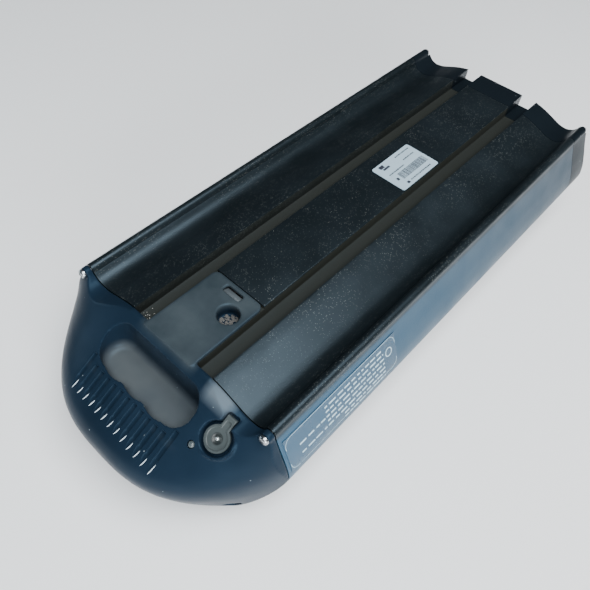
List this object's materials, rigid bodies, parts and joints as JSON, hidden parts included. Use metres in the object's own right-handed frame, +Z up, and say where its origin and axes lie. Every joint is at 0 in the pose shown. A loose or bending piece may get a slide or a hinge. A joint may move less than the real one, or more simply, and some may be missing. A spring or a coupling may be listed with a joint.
{
  "type": "electric bicycle battery pack",
  "caption": "Slide-on lithium battery pack: extruded sleeve with two rail grooves, domed finger-grip end cap with a covered charge port and lock hole, and a connector end cap.",
  "frame": {"origin": "middle of the pack in plan, on the flat underside that it lies on", "axes": "+Z up, out of the mounting side; +Y along the length towards the discharge connector, the finger grip being at -Y; +X towards the charge port"},
  "size_m": [0.159, 0.368, 0.0764],
  "materials": {
    "black_anodised": "satin black anodised, fine texture, dusty",
    "cap_plastic": "fine-grained moulded plastic, blue-black",
    "black_rubber": "matt",
    "cover_rubber": "satin grey-black",
    "screw_steel": "bright zinc",
    "nickel": "plated",
    "copper": "bare",
    "connector_black": "moulded",
    "led_lens": "clear, glossy",
    "cell_foil": "laminated foil",
    "board_green": "solder mask",
    "board_fibre": "bare glass fibre",
    "insulation": "matt",
    "foam": "open-cell foam",
    "heatsink": "plain",
    "lead_red": "silicone sleeve",
    "lead_black": "silicone sleeve",
    "ribbon_grey": "PVC",
    "fuse_plastic": "translucent",
    "label_white": "satin label",
    "label_clear": "clear film over black, thin pale print"
  },
  "bodies": {
    "pack": {"balance_ribbon": "ribbon_grey", "balance_socket": "label_white", "bms_board": "board_green", "bms_heatsink": "heatsink", "bms_mosfet_1": "connector_black", "bms_mosfet_2": "connector_black", "bms_mosfet_3": "connector_black", "bms_mosfet_4": "connector_black", "bms_shunt": "copper", "cell_lead_negative": "lead_black", "cell_lead_positive": "lead_red", "cell_tray": "board_fibre", "charge_cover_anchor": "cover_rubber", "charge_jack_body": "connector_black", "charge_jack_nut": "nickel", "charge_jack_pin": "nickel", "charge_lead_negative": "lead_black", "charge_lead_positive": "lead_red", "charge_led_lens": "led_lens", "connector_cap": "cap_plastic", "connector_cap_gasket": "black_rubber", "connector_cap_screw_1": "screw_steel", "connector_cap_screw_2": "screw_steel", "connector_cap_screw_3": "screw_steel", "connector_cap_screw_4": "screw_steel", "discharge_blade_negative": "copper", "discharge_blade_positive": "copper", "discharge_connector_body": "connector_black", "foam_top_pad": "foam", "fuse": "fuse_plastic", "fuse_holder": "connector_black", "fused_lead_positive": "lead_red", "handle_cap": "cap_plastic", "handle_cap_gasket": "black_rubber", "handle_cap_screw_1": "screw_steel", "handle_cap_screw_2": "screw_steel", "handle_cap_screw_3": "screw_steel", "handle_cap_screw_4": "screw_steel", "housing_extrusion": "black_anodised", "pouch_cell_01": "cell_foil", "pouch_cell_02": "cell_foil", "pouch_cell_03": "cell_foil", "pouch_cell_04": "cell_foil", "pouch_cell_05": "cell_foil", "pouch_cell_06": "cell_foil", "pouch_cell_07": "cell_foil", "pouch_cell_08": "cell_foil", "pouch_cell_09": "cell_foil", "pouch_cell_10": "cell_foil", "side_label": "label_clear", "signal_pin_1": "nickel", "signal_pin_2": "nickel", "spec_label": "label_white", "stack_divider": "insulation", "tab_board_connector_end": "board_fibre", "tab_board_handle_end": "board_fibre", "tongue_clip": "cap_plastic"},
    "port_cover": {"charge_port_cover": "cover_rubber"}
  },
  "joints": [
    {"name": "port_cover_hinge", "type": "hinge", "parent": "pack", "child": "port_cover", "pos_m": [0.0475, -0.13585, 0.06782], "axis": [-1, 0, 0], "range_deg": [0, 115]}
  ]
}
